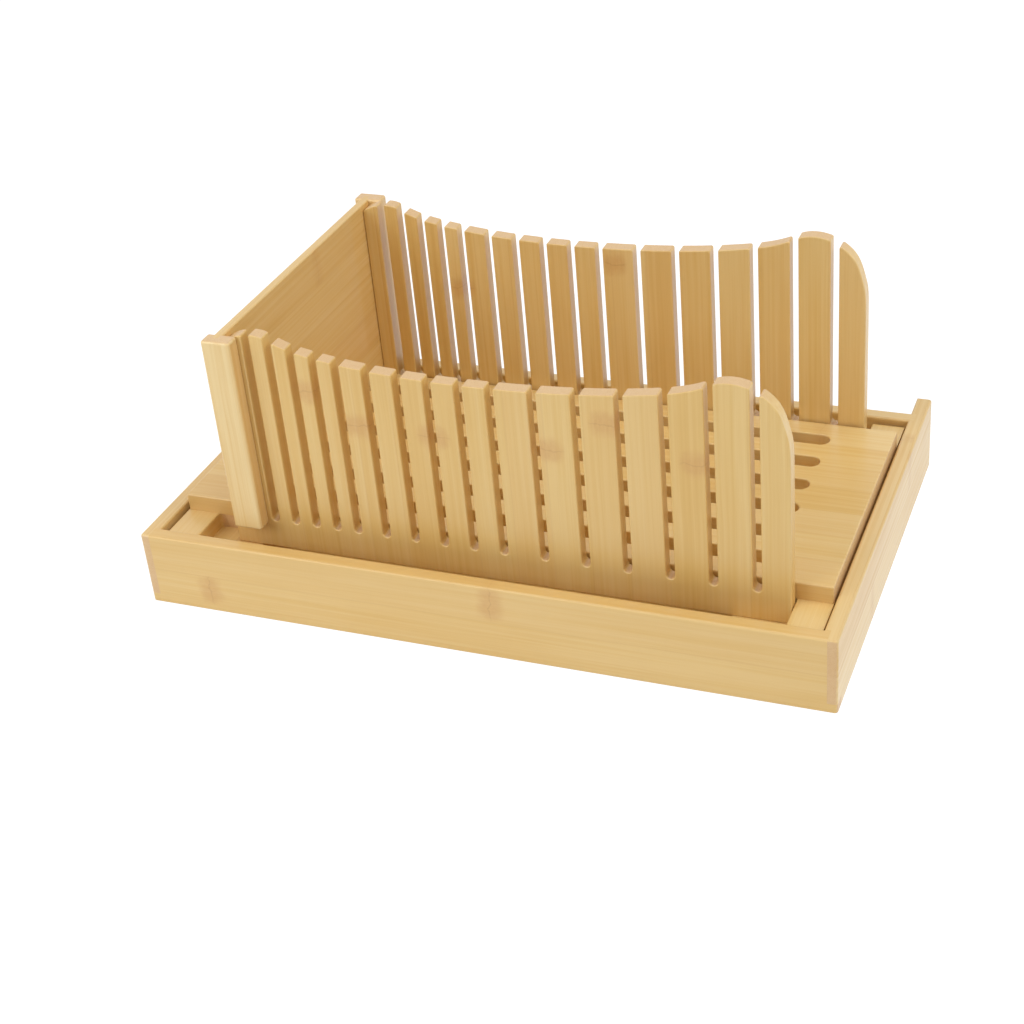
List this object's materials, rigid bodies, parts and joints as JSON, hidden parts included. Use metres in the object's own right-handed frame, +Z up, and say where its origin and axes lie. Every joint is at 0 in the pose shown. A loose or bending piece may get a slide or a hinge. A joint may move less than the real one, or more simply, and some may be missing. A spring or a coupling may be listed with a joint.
{
  "type": "bread slicer guide",
  "caption": "Bamboo bread slicing guide: two slotted side guides and a lift-out back rest on a slotted floor, standing in an open crumb tray",
  "frame": {"origin": "middle of the tray's footprint, on the surface that it stands on", "axes": "+X along the loaf from the back rest to the rounded end of the guides, -Y to the front face of the tray, +Z up"},
  "size_m": [0.35, 0.22, 0.1484],
  "materials": {
    "tray_bamboo": "satin clear lacquer on natural bamboo",
    "board_bamboo": "semi-gloss clear lacquer on natural bamboo",
    "guide_bamboo": "semi-gloss clear lacquer on natural bamboo",
    "rest_bamboo": "satin clear lacquer on natural bamboo",
    "dowel_wood": "bare hardwood"
  },
  "bodies": {
    "crumb_tray": {"tray_front_wall": "tray_bamboo", "tray_back_wall": "tray_bamboo", "tray_left_wall": "tray_bamboo", "tray_right_wall": "tray_bamboo", "tray_bottom_panel": "tray_bamboo"},
    "slicer_unit": {"floor_board": "board_bamboo", "left_batten": "board_bamboo", "right_batten": "board_bamboo", "left_batten_dowels": "dowel_wood", "right_batten_dowels": "dowel_wood", "front_guide": "guide_bamboo", "back_guide": "guide_bamboo", "front_guide_dowels": "dowel_wood", "back_guide_dowels": "dowel_wood"},
    "back_rest": {"back_panel": "rest_bamboo", "front_post": "rest_bamboo", "back_post": "rest_bamboo"}
  },
  "joints": [
    {"name": "slicer_lift", "type": "slide", "parent": "crumb_tray", "child": "slicer_unit", "axis": [0, 0, 1], "range_m": [0, 0.06]},
    {"name": "back_rest_lift", "type": "slide", "parent": "slicer_unit", "child": "back_rest", "axis": [0, 0, 1], "range_m": [0, 0.11]}
  ]
}
